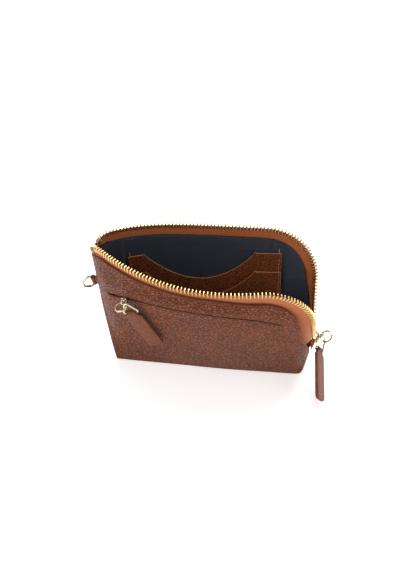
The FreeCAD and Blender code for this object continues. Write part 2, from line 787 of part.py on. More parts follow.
keep("d_ring", wire_loop(dring_corners, dring_wire_r, 1.6))
dring_joint = (dring_bar, tab_across)

# ---- card pocket on the back lining: two leather slips with thumb scoops ----------------
card_us = span(0.0, 1.0, 41)
card_off = lining_in - 0.25


def back_point(x, tall, out):
    """Point of the back panel at a flat position, moved out along its normal."""
    return laid(x, tall, 1)[0] + outward(x, tall, 1) * out


def card_slip(bottom, left_top, right_top, start):
    """Leather slip from a bottom height up to an edge with a thumb scoop."""
    inner = []
    outer = []
    for t in card_us:
        x = card_left + (card_right - card_left) * t
        scoop = card_scoop * max(1.0 - ((x - scoop_middle) / scoop_half) ** 2, 0.0)
        top = left_top + (right_top - left_top) * t - scoop
        rows = span(bottom, top, 6)
        inner.append([back_point(x, z, start - card_t) for z in rows])
        outer.append([back_point(x, z, start) for z in rows])
    return grid_solid(inner, outer)


keep("card_pocket_rear", card_slip(22.0, 81.0, 86.5, card_off))
keep("card_pocket_front", card_slip(22.0, 81.0 - card_drop, 86.5 - card_drop, card_off - card_t - 0.25))
bars = []
for x, low, high in ((card_left + 1.6, 81.5, 84.5), (card_right - 1.6, 87.0, 90.0)):
    a = back_point(x, low, lining_in - 0.35)
    bars.append(Part.makeCylinder(0.3, 3.0, a, unit(back_point(x, high, lining_in - 0.35) - a)))

keep("card_bartacks", bars)

# ---- inner ring on a fabric loop at the left of the lining -----------------------------
loop_root = back_point(-60.5, 74.0, lining_in - 0.6)
loop_in = unit(V(0.35, -1.0, -0.25))
loop_wide = unit(loop_in.cross(V(0, 0, 1)))
loop_long = 6.0
loop = Part.makeBox(loop_long, 5.0, 1.4)
loop_thick_way = loop_in.cross(loop_wide)
loop.Placement = FreeCAD.Placement(loop_root - loop_wide * 2.5 - loop_thick_way * 0.7,
                                   FreeCAD.Rotation(loop_in, loop_wide, loop_thick_way, "ZXY"))
loop_eye = loop_root + loop_in * loop_long
loop = loop.fuse(Part.makeCylinder(1.6, 5.0, loop_eye - loop_wide * 2.5, loop_wide))
loop = loop.cut(Part.makeCylinder(wire_r + pin_clear, 7.0, loop_eye - loop_wide * 3.5, loop_wide))
keep("inner_loop", loop.removeSplitter())
inner_down = square_to(V(0.35, -0.55, -0.75), loop_wide)
inner_half = 3.6
inner_long = 8.0
keep("inner_ring", wire_loop([loop_eye + loop_wide * inner_half, loop_eye - loop_wide * inner_half,
                              loop_eye - loop_wide * inner_half + inner_down * inner_long * 0.6,
                              loop_eye + inner_down * inner_long * 1.15,
                              loop_eye + loop_wide * inner_half + inner_down * inner_long * 0.6],
                             wire_r, 0.95))
inner_joint = (loop_eye, loop_wide)

for node, solids in nodes.items():
    shape = solids[0] if len(solids) == 1 else Part.makeCompound(solids)
    if not shape.isValid():
        print("invalid", node)
    for solid in shape.Solids:
        if solid.Volume <= 0:
            print("inside out", node, solid.Volume)
    shape.exportStep("parts/" + node + ".step")
print(len(nodes), "nodes,", sum(len(s) for s in nodes.values()), "solids")
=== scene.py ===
"""A small zippered leather pouch, standing open on a pale floor.

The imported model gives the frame, the metal rings and the places of everything that moves.
Every ply of leather, lining and tape is cut flat here and laid on the open pouch, as a
maker would cut it and sew it: a flat place is (x, height) in millimetres on a closed panel.
"""
import math
import bmesh
import bpy
import numpy as np
from mathutils import Matrix, Vector


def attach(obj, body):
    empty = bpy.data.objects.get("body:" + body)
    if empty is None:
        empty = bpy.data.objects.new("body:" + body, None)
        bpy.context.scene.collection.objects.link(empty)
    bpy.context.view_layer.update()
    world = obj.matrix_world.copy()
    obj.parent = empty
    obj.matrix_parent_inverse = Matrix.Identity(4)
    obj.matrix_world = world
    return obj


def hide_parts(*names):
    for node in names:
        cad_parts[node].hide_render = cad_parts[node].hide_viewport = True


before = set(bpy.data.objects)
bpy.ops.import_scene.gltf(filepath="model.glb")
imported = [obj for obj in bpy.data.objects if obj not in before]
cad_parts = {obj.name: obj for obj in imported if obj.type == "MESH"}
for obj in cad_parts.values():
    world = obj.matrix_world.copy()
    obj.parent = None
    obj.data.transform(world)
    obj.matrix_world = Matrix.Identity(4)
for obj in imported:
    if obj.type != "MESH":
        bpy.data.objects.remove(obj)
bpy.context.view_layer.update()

# ---- the front panel -------------------------------------------------------------------
# The large piece of pebbled leather below the pocket opening.  It is skived at its edges,
# stitched down both sides, and bulges a little over the pocket behind it.
mm = 0.001
base_left, base_right, base_half = -66.0, 72.0, 15.0
height = 106.0
left_corner_r, right_corner_r = 13.0, 36.0
left_end_x, right_end_x, right_end_z = -76.8, 80.0, 34.0
left_start = math.radians(150.0)
end_y_left, end_y_right = -12.0, -6.0
front_open, back_open = 45.0, 25.0
front_lean, back_lean = 0.87, 0.2
mouth_draw = 2.5
leather_t = 1.3
leather_in = 0.92
belly = 3.2
fold_gap = 1.1
left_centre = (left_end_x - left_corner_r * math.cos(left_start), height - left_corner_r)
right_centre = (right_end_x - right_corner_r, height - right_corner_r)
arc_left = left_corner_r * (left_start - math.pi / 2)
top_run = right_centre[0] - left_centre[0]
arc_right = right_corner_r * math.pi / 2
outline_length = arc_left + top_run + arc_right + right_centre[1] - right_end_z


def smooth(value):
    """0 below 0, 1 above 1, and a smooth step between."""
    value = np.clip(value, 0.0, 1.0)
    return value * value * (3.0 - 2.0 * value)


def unit(vectors):
    """The vectors at length one."""
    return vectors / np.maximum(np.linalg.norm(vectors, axis=-1, keepdims=True), 1e-9)


def flat_inset(u, distance):
    """Flat place a distance inside the zip line, at share u of its length."""
    u = np.asarray(u, float)
    s = u * outline_length
    turn_left = left_start - s / left_corner_r
    turn_right = math.pi / 2 - (s - arc_left - top_run) / right_corner_r
    where = [s < arc_left, s < arc_left + top_run, s < arc_left + top_run + arc_right]
    small = left_corner_r - distance
    large = right_corner_r - distance
    x = np.select(where, [left_centre[0] + small * np.cos(turn_left), left_centre[0] + s - arc_left,
                          right_centre[0] + large * np.cos(turn_right)], right_end_x - distance)
    tall = np.select(where, [left_centre[1] + small * np.sin(turn_left), height - distance,
                             right_centre[1] + large * np.sin(turn_right)],
                     right_centre[1] - (s - arc_left - top_run - arc_right))
    return x, tall


def lip(u, side):
    """Places of the open zip line; side is -1 for the front lip and 1 for the back."""
    u = np.asarray(u, float)
    x, tall = flat_inset(u, 0.0)
    ends = end_y_left + (end_y_right - end_y_left) * u
    share = np.clip(u, 0.0, 1.0)
    if side < 0:
        wave = np.maximum(np.sin(math.pi * share ** (0.82 + 0.18 * share)), 0.0)
        y = ends - front_open * wave ** (1.0 - 0.35 * share)
        lean = (y - ends) * front_lean
    else:
        y = ends + back_open * (1.0 - np.abs(2.0 * share - 1.0) ** (4.4 - 1.6 * share))
        lean = (y - ends) * back_lean
    drawn = x - mouth_draw * np.sin(math.pi * share)
    return np.stack([drawn, y, np.sqrt(tall * tall - lean * lean)], -1)


def fold(u, side):
    """Places of the base fold that the panel's lines run down to."""
    x, tall = flat_inset(u, 0.0)
    drop = np.where(x > 0, 0.35 * (height - tall), 0.0)
    share = (x - left_end_x + drop) / (right_end_x - left_end_x + 0.35 * (height - right_end_z))
    foot = base_left + (base_right - base_left) * share
    return np.stack([foot, np.full_like(foot, side * base_half), np.zeros_like(foot)], -1)


def laid(x, tall, side):
    """Where flat places lie on the open pouch, with the share of the zip each belongs to."""
    x, tall = np.broadcast_arrays(np.asarray(x, float), np.asarray(tall, float))
    low = np.zeros(x.shape)
    high = np.ones(x.shape)
    for _ in range(26):
        u = (low + high) / 2
        edge_x, edge_tall = flat_inset(u, 0.0)
        foot = fold(u, side)[..., 0]
        short = foot + (edge_x - foot) * tall / edge_tall < x
        low = np.where(short, u, low)
        high = np.where(short, high, u)
    share = tall / flat_inset(u, 0.0)[1]
    foot = fold(u, side)
    return foot + (lip(u, side) - foot) * share[..., None], u, share


def outward(x, tall, side):
    """Outward normals of a panel at flat places."""
    reach = 0.4
    across = laid(x + reach, tall, side)[0] - laid(x - reach, tall, side)[0]
    upward = laid(x, tall + reach, side)[0] - laid(x, tall - reach, side)[0]
    return unit(np.cross(across, upward)) * -side


def flat_ruling(u, share):
    """Flat place a share of the way up the panel's line at share u of the zip."""
    x, tall = flat_inset(u, 0.0)
    foot = fold(u, -1)[..., 0]
    return foot + (x - foot) * share, tall * share


def ruled(u, share):
    """Places on the bare front panel."""
    foot = fold(u, -1)
    return foot + (lip(u, -1) - foot) * share


# the pocket opening: an arc in space, so that its slider can run along it
slit_start, slit_end, slit_last = 0.085, 0.655, 0.45
slit_reach = 0.03
arc_marks = [ruled(slit_start + (slit_end - slit_start) * t, 0.70 + 0.50 * t - 0.48 * t * t)
             for t in (0.12, 0.50, 0.85)]
slit_axis = unit(np.cross(arc_marks[1] - arc_marks[0], arc_marks[2] - arc_marks[1]))
chord_a = arc_marks[1] - arc_marks[0]
chord_b = arc_marks[2] - arc_marks[0]
square = np.cross(chord_a, chord_b)
slit_centre = arc_marks[0] + (
    np.dot(chord_b, chord_b) * np.cross(square, chord_a)
    + np.dot(chord_a, chord_a) * np.cross(chord_b, square)) / (2 * np.dot(square, square))
slit_radius = np.linalg.norm(arc_marks[0] - slit_centre)


def arc_share(u):
    """Height share at which the panel's line at share u passes closest to the arc."""
    foot = fold(u, -1)
    line = lip(u, -1) - foot
    share = ((slit_centre - foot) @ slit_axis) / (line @ slit_axis)
    spoke = foot + line * share[..., None] - slit_centre
    beyond = np.linalg.norm(spoke, axis=-1) - slit_radius
    spoke = unit(spoke)
    along = np.cross(slit_axis, spoke)
    up = unit(line - along * np.sum(line * along, -1)[..., None])
    return share - beyond * np.sum(spoke * up, -1) / np.sum(line * up, -1)


def slit_share(u):
    """Height share of the pocket opening's line, carried on to both side seams."""
    u = np.asarray(u, float)
    high = arc_share(np.asarray(slit_end))
    beyond = high - (high - slit_last) * smooth((u - slit_end) / (1 - slit_end))
    return np.where(u > slit_end, beyond, arc_share(np.clip(u, slit_start, slit_end)))


def beside_slit(u, rise):
    """Flat place a distance above the line of the pocket opening, or below it."""
    step = 0.004
    before = flat_ruling(np.maximum(u - step, 0.0), slit_share(np.maximum(u - step, 0.0)))
    after = flat_ruling(np.minimum(u + step, 1.0), slit_share(np.minimum(u + step, 1.0)))
    run_x, run_tall = after[0] - before[0], after[1] - before[1]
    size = np.hypot(run_x, run_tall)
    x, tall = flat_ruling(u, slit_share(u))
    return x - run_tall / size * rise, tall + run_x / size * rise


def gap_half(u):
    """Half the width of the pocket opening; beyond its ends only a fine line."""
    inside = (smooth((u - slit_start + slit_reach) / slit_reach)
              * smooth((slit_end + slit_reach - u) / slit_reach))
    return 0.04 + (0.88 + 0.34 * smooth((0.24 - u) / 0.08)) * inside


def room(u, share):
    """How far out the leather lies: it makes room for the pocket behind it."""
    middle = slit_share(u)
    rise = np.where(share < middle, smooth(share / middle * 1.3),
                    1.0 - smooth(((share - middle) / (0.93 - middle) - 0.3) / 0.7))
    return leather_in + belly * smooth(u / 0.08) * smooth((1.0 - u) / 0.25) * rise


def ripple(x, tall, size, length):
    """Soft unevenness of hand-sewn leather, in millimetres."""
    return size * (np.sin(x / length + 1.3 * np.sin(tall / length * 0.7))
                   + np.sin((0.6 * x + tall) / length * 0.83 + 1.0)) / 2


def groove(x, tall, line, width):
    """1 on a stitched or creased flat line of places, falling to 0 a width away."""
    best = np.full(x.shape, 1e9)
    for (ax, az), (bx, bz) in zip(line[:-1], line[1:]):
        run = (bx - ax) ** 2 + (bz - az) ** 2
        t = np.clip(((x - ax) * (bx - ax) + (tall - az) * (bz - az)) / max(run, 1e-9), 0, 1)
        best = np.minimum(best, (x - ax - t * (bx - ax)) ** 2 + (tall - az - t * (bz - az)) ** 2)
    return np.exp(-best / width ** 2)


def finish_piece(bm, name, *materials, smooth_faces=True):
    """Turns a bmesh into a piece with its materials."""
    mesh = bpy.data.meshes.new(name)
    bm.to_mesh(mesh)
    bm.free()
    if smooth_faces:
        mesh.shade_smooth()
    piece = bpy.data.objects.new(name, mesh)
    bpy.context.collection.objects.link(piece)
    for material in materials:
        mesh.materials.append(material)
    return piece


def cut_ply(name, low, high, first, last, across, rows, out, thick, side, materials, rim):
    """A ply cut flat between two curves and laid on a panel; out gives its inner face's offset."""
    bm = bmesh.new()
    bmesh.ops.create_grid(bm, x_segments=across, y_segments=rows, size=0.5)
    bm.verts.ensure_lookup_table()
    u = first + (last - first) * (np.array([v.co.x for v in bm.verts]) + 0.5)
    t = np.array([v.co.y for v in bm.verts]) + 0.5
    low_x, low_tall = low(u)
    high_x, high_tall = high(u)
    x = low_x + (high_x - low_x) * t
    tall = low_tall + (high_tall - low_tall) * t
    place, ruling, share = laid(x, tall, side)
    inner = out(x, tall, ruling, share) if callable(out) else np.full(x.shape, out)
    face = place + outward(x, tall, side) * (inner + thick)[..., None]
    for vertex, where in zip(bm.verts, face):
        vertex.co = Vector(where) * mm
    layer = bm.loops.layers.uv.new("flat")
    for f in bm.faces:
        for loop in f.loops:
            k = loop.vert.index
            loop[layer].uv = (x[k] * mm, tall[k] * mm)
    if side > 0:
        bmesh.ops.reverse_faces(bm, faces=bm.faces[:])
    piece = finish_piece(bm, name, *materials)
    wall = piece.modifiers.new("thickness", "SOLIDIFY")
    wall.thickness = thick * mm
    wall.offset = -1.0
    wall.material_offset_rim = 1 if len(materials) > 1 else 0
    if rim > 0:
        soft = piece.modifiers.new("soft edge", "BEVEL")
        soft.width = rim * mm
        soft.segments = 3
        soft.limit_method = "ANGLE"
        soft.angle_limit = math.radians(50)
    return piece


def node_maker(material):
    """Gives short ways to add and join shader nodes of one material."""
    tree = material.node_tree

    def add(kind, **values):
        node = tree.nodes.new(kind)
        for key, value in values.items():
            if hasattr(node, key):
                setattr(node, key, value)
            else:
                node.inputs[key.replace("_", " ")].default_value = value
        return node

    def join(source, target):
        tree.links.new(source, target)
    return add, join


def leather(name, light, groove_shade, pebble=480.0, gloss=0.48, depth=0.9):
    """Pebbled full-grain leather: rounded grains, with creases between them where the colour falls to
    painted shade.
    """
    material = bpy.data.materials.new(name)
    material.use_nodes = True
    add, join = node_maker(material)
    skin = material.node_tree.nodes["Principled BSDF"]
    place = add("ShaderNodeTexCoord")
    wobble = add("ShaderNodeTexNoise", Scale=420.0, Detail=2.0)
    join(place.outputs["Object"], wobble.inputs["Vector"])
    shift = add("ShaderNodeVectorMath", operation="MULTIPLY_ADD")
    shift.inputs[1].default_value = (0.0016, 0.0016, 0.0016)
    join(wobble.outputs["Color"], shift.inputs[0])
    join(place.outputs["Object"], shift.inputs[2])
    stretch = add("ShaderNodeMapping", Scale=(0.8, 1.0, 1.25))
    join(shift.outputs[0], stretch.inputs["Vector"])
    grain = add("ShaderNodeTexVoronoi", feature="SMOOTH_F1", Scale=pebble, Smoothness=0.35)
    join(stretch.outputs[0], grain.inputs["Vector"])
    crease = add("ShaderNodeTexVoronoi", feature="DISTANCE_TO_EDGE", Scale=pebble)
    join(stretch.outputs[0], crease.inputs["Vector"])
    pores = add("ShaderNodeTexNoise", Scale=5200.0, Detail=3.0)
    join(place.outputs["Object"], pores.inputs["Vector"])
    cloud = add("ShaderNodeTexNoise", Scale=38.0, Detail=3.0, Roughness=0.6)
    join(place.outputs["Object"], cloud.inputs["Vector"])
    # painted shade: the colour falls from the leather's own colour on the grains to a dark shaded copy
    # of it in the creases
    tone = add("ShaderNodeValToRGB")
    tone.color_ramp.elements[0].position = 0.0
    tone.color_ramp.elements[0].color = (*groove_shade, 1)
    tone.color_ramp.elements[1].position = 0.11
    tone.color_ramp.elements[1].color = (*light, 1)
    join(crease.outputs["Distance"], tone.inputs["Fac"])
    patch = add("ShaderNodeMix", data_type="RGBA", blend_type="MULTIPLY")
    patch.inputs["Factor"].default_value = 1.0
    shade = add("ShaderNodeValToRGB")
    shade.color_ramp.elements[0].position = 0.3
    shade.color_ramp.elements[0].color = (0.88, 0.85, 0.84, 1)
    shade.color_ramp.elements[1].position = 0.7
    shade.color_ramp.elements[1].color = (1.10, 1.08, 1.06, 1)
    join(cloud.outputs["Fac"], shade.inputs["Fac"])
    join(tone.outputs["Color"], patch.inputs["A"])
    join(shade.outputs["Color"], patch.inputs["B"])
    join(patch.outputs["Result"], skin.inputs["Base Color"])
    rough = add("ShaderNodeMapRange")
    rough.inputs["To Min"].default_value = gloss - 0.08
    rough.inputs["To Max"].default_value = gloss + 0.12
    join(grain.outputs["Distance"], rough.inputs["Value"])
    join(rough.outputs["Result"], skin.inputs["Roughness"])
    fine = add("ShaderNodeBump", Strength=0.10, Distance=0.0002)
    join(pores.outputs["Fac"], fine.inputs["Height"])
    domes = add("ShaderNodeMapRange", interpolation_type="SMOOTHSTEP")
    domes.inputs["From Max"].default_value = 0.22
    join(crease.outputs["Distance"], domes.inputs["Value"])
    lumps = add("ShaderNodeBump", Strength=depth, Distance=0.0018)
    join(domes.outputs["Result"], lumps.inputs["Height"])
    join(fine.outputs["Normal"], lumps.inputs["Normal"])
    join(lumps.outputs["Normal"], skin.inputs["Normal"])
    skin.inputs["Specular IOR Level"].default_value = 0.20
    skin.inputs["Coat Weight"].default_value = 0.02
    skin.inputs["Coat Roughness"].default_value = 0.35
    return material


def plain(name, colour, rough, metal=0.0, grain=900.0, depth=0.1, shift=0.12):
    """A finish with a little grain in its colour, gloss and surface."""
    material = bpy.data.materials.new(name)
    material.use_nodes = True
    add, join = node_maker(material)
    skin = material.node_tree.nodes["Principled BSDF"]
    place = add("ShaderNodeTexCoord")
    spots = add("ShaderNodeTexNoise", Scale=grain, Detail=3.0)
    join(place.outputs["Object"], spots.inputs["Vector"])
    tone = add("ShaderNodeValToRGB")
    tone.color_ramp.elements[0].position = 0.3
    tone.color_ramp.elements[0].color = (*[c * (1 - shift) for c in colour], 1)
    tone.color_ramp.elements[1].position = 0.7
    tone.color_ramp.elements[1].color = (*[c * (1 + shift) for c in colour], 1)
    join(spots.outputs["Fac"], tone.inputs["Fac"])
    join(tone.outputs["Color"], skin.inputs["Base Color"])
    gloss = add("ShaderNodeMapRange")
    gloss.inputs["To Min"].default_value = max(rough - 0.06, 0.02)
    gloss.inputs["To Max"].default_value = rough + 0.08
    join(spots.outputs["Fac"], gloss.inputs["Value"])
    join(gloss.outputs["Result"], skin.inputs["Roughness"])
    bump = add("ShaderNodeBump", Strength=depth, Distance=0.0002)
    join(spots.outputs["Fac"], bump.inputs["Height"])
    join(bump.outputs["Normal"], skin.inputs["Normal"])
    skin.inputs["Metallic"].default_value = metal
    return material


# the second colour of each leather is the painted shade in the creases of its grain
shell_leather = leather("shell_leather", (0.262, 0.068, 0.020), (0.055, 0.013, 0.005))
shell_edge = plain("shell_edge", (0.17, 0.056, 0.024), 0.5)


def front_out(x, tall, ruling, share):
    """Offset of the front leather's inner face, with puckers along its seams."""
    free = smooth((1 - ruling) / 0.2) * smooth((slit_share(ruling) - share - 0.03) / 0.12)
    out = room(ruling, share) + ripple(x, tall, 0.35, 13.0) * free
    return out - 0.25 * groove(x, tall, [(-63.0, 8.0), (-70.5, 62.0)], 1.6)


front_panel = cut_ply(
    "front_panel_leather", lambda u: flat_ruling(u, fold_gap / flat_inset(u, 0.0)[1]),
    lambda u: beside_slit(u, -gap_half(u)), 0.0, 1.0, 220, 84, front_out, leather_t, -1,
    (shell_leather, shell_edge), rim=0.25)
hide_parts("front_panel")
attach(front_panel, "pouch")

# ---- the front yoke --------------------------------------------------------------------
# The narrow piece of the same leather between the pocket opening and the zip.  Its upper
# edge is turned and lies beside the zip tape; its lower edge hangs over the opening.


def beside_zip(u, side, distance):
    """Flat place that lies a distance inside the zip line on the open pouch."""
    u = np.asarray(u, float)
    distance = np.broadcast_to(np.asarray(distance, float), u.shape)
    flat = distance
    for _ in range(5):
        x, tall = flat_inset(u, flat)
        real = np.linalg.norm(lip(u, side) - laid(x, tall, side)[0], axis=-1)
        flat = np.minimum(flat * distance / np.maximum(real, 1e-6), distance)
    return flat_inset(u, flat)


def top_edge(u, side, distance):
    """Flat upper edge of a ply: beside the zip, and out to both side seams at its ends."""
    u = np.asarray(u, float)
    distance = np.broadcast_to(np.asarray(distance, float), u.shape)
    x, tall = beside_zip(u, side, distance)
    left_x, left_tall = flat_ruling(np.zeros(u.shape), 1.0 - 0.7 * distance / flat_inset(0.0, 0.0)[1])
    right_x, right_tall = flat_ruling(np.ones(u.shape), 1.0 - 1.54 * distance / right_end_z)
    turn_left = smooth(1.0 - u / 0.05)
    turn_right = smooth((u - 0.94) / 0.06)
    x = x + (left_x - x) * turn_left + (right_x - x) * turn_right
    tall = tall + (left_tall - tall) * turn_left + (right_tall - tall) * turn_right
    return x, tall


def edge_front(u):
    """Distance from the zip line to the front leather's edge; more tape shows at the right."""
    return 5.5 + 4.0 * smooth((u - 0.42) / 0.16)


def paired(u):
    """Share of the opening's line that the yoke's line at share u starts from."""
    return u - 0.117 * smooth((u - 0.52) / 0.26) * smooth((1.0 - u) / 0.08)


def yoke_out(x, tall, ruling, share):
    """Offset of the yoke's inner face."""
    free = smooth((1 - ruling) / 0.2) * smooth((share - slit_share(ruling) - 0.03) / 0.1)
    return room(ruling, share) + ripple(x, tall, 0.2, 11.0) * free


front_yoke = cut_ply(
    "front_yoke_leather", lambda u: beside_slit(paired(u), gap_half(paired(u))),
    lambda u: top_edge(u, -1, edge_front(u)), 0.0, 1.0, 220, 20, yoke_out, leather_t, -1,
    (shell_leather, shell_edge), rim=0.5)
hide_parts("front_yoke")
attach(front_yoke, "pouch")

# ---- the back panel --------------------------------------------------------------------
# One piece of the pebbled leather from the base to the zip, slightly uneven as it stands.
# It is sewn to the zip tape along its top and to the gussets down both sides.
back_edge, back_ease = 6.0, 0.12
back_panel = cut_ply(
    "back_panel_leather", lambda u: flat_ruling(u, fold_gap / flat_inset(u, 0.0)[1]),
    lambda u: top_edge(u, 1, back_edge), 0.0, 1.0, 220, 90,
    lambda x, tall, ruling, share: leather_in + ripple(x, tall, 0.12, 15.0) + back_ease, leather_t, 1,
    (shell_leather, shell_edge), rim=0.5)
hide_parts("back_panel")
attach(back_panel, "pouch")

# ---- the base and the gussets ----------------------------------------------------------
# The base is a flat piece of the same leather over a board, and a narrow triangle of it
# closes each side.  They are cut plies with rounded edges, sewn to both panels.


def worked_copy(node, name, *materials, melt=3.0, rim=0.3, steps=3):
    """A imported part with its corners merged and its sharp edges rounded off."""
    bm = bmesh.new()
    bm.from_mesh(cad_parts[node].data)
    bmesh.ops.remove_doubles(bm, verts=bm.verts[:], dist=0.01 * mm)
    bmesh.ops.dissolve_limit(bm, angle_limit=math.radians(melt), verts=bm.verts[:], edges=bm.edges[:])
    piece = finish_piece(bm, name, *materials)
    soft = piece.modifiers.new("soft edge", "BEVEL")
    soft.width = rim * mm
    soft.segments = steps
    soft.limit_method = "ANGLE"
    soft.angle_limit = math.radians(35)
    soft.harden_normals = True
    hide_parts(node)
    return piece


for node in ("base_panel", "left_gusset", "right_gusset"):
    ply = worked_copy(node, node + "_leather", shell_leather, rim=0.35)
    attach(ply, "pouch")
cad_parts["base_board"].data.materials.clear()
board_grey = plain("stiffener", (0.36, 0.33, 0.29), 0.8, grain=1500.0, depth=0.3)
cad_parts["base_board"].data.materials.append(board_grey)

# ---- the linings -----------------------------------------------------------------------
# Thin navy twill, sewn in under the leather edges and down the sides.  It hangs free in
# between, so it carries a few creases and a fold where the open mouth pulls on it.


def cloth(name, light, groove_shade, pitch, sheen, diagonal=True, bump=0.25):
    """Woven cloth; pitch is the distance between its ribs in metres, on the flat cloth. The grooves
    between the ribs are painted darker, as painted shade.
    """
    material = bpy.data.materials.new(name)
    material.use_nodes = True
    add, join = node_maker(material)
    skin = material.node_tree.nodes["Principled BSDF"]
    flat = add("ShaderNodeUVMap", uv_map="flat")
    turned = add("ShaderNodeMapping", Rotation=(0.0, 0.0, math.radians(52.0 if diagonal else 0.0)))
    join(flat.outputs["UV"], turned.inputs["Vector"])
    ribs = add("ShaderNodeTexWave", wave_type="BANDS", bands_direction="X",
               Scale=0.314 / pitch, Distortion=0.6, Detail=1.0)
    join(turned.outputs[0], ribs.inputs["Vector"])
    slub = add("ShaderNodeTexNoise", Scale=900.0, Detail=2.0)
    join(flat.outputs["UV"], slub.inputs["Vector"])
    both = add("ShaderNodeMath", operation="MULTIPLY_ADD")
    both.inputs[1].default_value = 0.5
    join(ribs.outputs["Fac"], both.inputs[0])
    half = add("ShaderNodeMath", operation="MULTIPLY")
    half.inputs[1].default_value = 0.5
    join(slub.outputs["Fac"], half.inputs[0])
    join(half.outputs[0], both.inputs[2])
    # painted shade: darker in the grooves between the ribs, mixed with random thread tone from the slub
    # noise
    tone = add("ShaderNodeValToRGB")
    tone.color_ramp.elements[0].position = 0.15
    tone.color_ramp.elements[0].color = (*groove_shade, 1)
    tone.color_ramp.elements[1].position = 0.75
    tone.color_ramp.elements[1].color = (*light, 1)
    join(both.outputs[0], tone.inputs["Fac"])
    join(tone.outputs["Color"], skin.inputs["Base Color"])
    weave = add("ShaderNodeBump", Strength=bump, Distance=0.0002)
    join(both.outputs[0], weave.inputs["Height"])
    join(weave.outputs["Normal"], skin.inputs["Normal"])
    skin.inputs["Roughness"].default_value = 0.82
    skin.inputs["Sheen Weight"].default_value = sheen
    skin.inputs["Sheen Roughness"].default_value = 0.5
    return material


# the second colour of each cloth is the painted shade in the grooves of its weave
navy = cloth("lining_fabric", (0.019, 0.025, 0.046), (0.008, 0.011, 0.021), 0.0006, 0.12)
lining_t, lining_in = 0.5, -0.97
lining_lift, lining_edge = 3.86, 8.0


def lining_wave(x, tall, ruling, share, side):
    """Offset of a lining: loose cloth, held at its edges, with two pressed creases."""
    behind_cards = 1.0 if side > 0 else 0.0
    cards = smooth((x + 61.0) / 4.0) * smooth((59.0 - x) / 4.0)
    cards = cards * smooth((92.0 - tall) / 5.0) * behind_cards
    free = (1.0 - cards) * smooth(ruling / 0.08) * smooth((1 - ruling) / 0.08)
    free = free * smooth(share / 0.1) * smooth((0.97 - share) / 0.1)
    drape = ripple(x + 7.0, tall, 0.9, 9.0) - 0.9
    crease = groove(x, tall, [(-60.5, 96.0), (-63.5, 40.0)], 1.5)
    crease = crease + groove(x, tall, [(50.0, 97.0), (45.0, 72.0)], 1.3)
    pull = groove(x, tall, [(44.0, 60.0), (60.0, 70.0), (74.0, 73.0)], 3.0)
    return lining_in + free * (np.minimum(drape, 0.0) - 0.9 * crease - 1.6 * pull)


for side, name in ((-1, "front_lining"), (1, "back_lining")):
    cloth_piece = cut_ply(
        name + "_cloth", lambda u: flat_ruling(u, lining_lift / flat_inset(u, 0.0)[1]),
        lambda u: top_edge(u, side, lining_edge), 0.006, 0.994, 180, 80,
        lambda *flat_place: lining_wave(*flat_place, side), lining_t, side, (navy,), rim=0)
    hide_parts(name)
    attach(cloth_piece, "pouch")
for node in ("base_lining", "left_gusset_lining", "right_gusset_lining"):
    ply = worked_copy(node, node + "_cloth", navy, rim=0.15, steps=2)
    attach(ply, "pouch")

# ---- the card pockets ------------------------------------------------------------------
# Two slips of darker leather on the back lining, with a thumb scoop cut in each upper edge.
# The edges are cut and left raw, so the light tan of the leather's middle shows there.
card_left, card_right, card_drop, card_t = -57.0, 55.0, 15.5, 1.0
card_low, card_high_left, card_high_right = 22.0, 81.0, 86.5
card_scoop, scoop_middle, scoop_half = 23.0, -4.5, 41.0
# the second colour is the painted shade in the creases of the grain
card_leather = leather("card_leather", (0.300, 0.072, 0.014), (0.085, 0.020, 0.006),
                       pebble=620.0, gloss=0.5)
raw_edge = plain("raw_edge", (0.46, 0.22, 0.10), 0.75, grain=1800.0, depth=0.35)


def card_top(u, left_top, right_top):
    """Flat upper edge of a card slip with its thumb scoop."""
    x = card_left + (card_right - card_left) * u
    scoop = np.maximum(1.0 - ((x - scoop_middle) / scoop_half) ** 2, 0.0)
    scoop = scoop - 0.06 * np.exp(-(scoop / 0.09) ** 2) * (scoop > 0)
    return x, left_top + (right_top - left_top) * u - card_scoop * scoop


for name, drop, start in (("card_pocket_rear", 0.0, -1.22), ("card_pocket_front", card_drop, -2.47)):
    slip = cut_ply(
        name + "_slip", lambda u: (card_left + (card_right - card_left) * u, np.full(u.shape, card_low)),
        lambda u: card_top(u, card_high_left - drop, card_high_right - drop), 0.0, 1.0, 150, 60,
        start - card_t, card_t, 1, (card_leather, raw_edge), rim=0.2)
    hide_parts(name)
    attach(slip, "pouch")

# ---- the main zip ----------------------------------------------------------------------
# A brass zip on tan herringbone tape.  The tape is sewn between leather and lining, and
# each tooth is stamped metal clamped round the tape's edge.
tan_tape = cloth("zip_tape", (0.50, 0.130, 0.028), (0.24, 0.056, 0.012), 0.0016, 0.12, bump=0.6)
tape_t, tape_tuck, tape_gap = 0.7, 2.0, 0.3
for side, name in ((-1, "front_zip_tape"), (1, "back_zip_tape")):
    tape = cut_ply(name + "_woven",
                   lambda u: beside_zip(u, side, (edge_front(u) if side < 0 else back_edge) + tape_tuck),
                   lambda u: beside_zip(u, side, tape_gap + 0.5 * smooth((u - 0.84) / 0.1)),
                   0.004, 0.982, 240, 8, -tape_t / 2, tape_t, side, (tan_tape,), rim=0.15)
    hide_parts(name)
    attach(tape, "pouch")
brass = plain("zip_teeth", (0.66, 0.46, 0.20), 0.28, metal=1.0, grain=2400.0, depth=0.15, shift=0.08)
for node in ("front_zip_teeth", "back_zip_teeth", "zip_tail_teeth", "top_stops", "bottom_stop"):
    row = worked_copy(node, node + "_brass", brass, rim=0.28, steps=2)
    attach(row, "pouch")
tail_cloth = plain("zip_tail_cloth", (0.52, 0.19, 0.055), 0.85)
tail = worked_copy("zip_tail_tape", "zip_tail_tape_woven", tail_cloth, rim=0.15, steps=2)
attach(tail, "pouch")

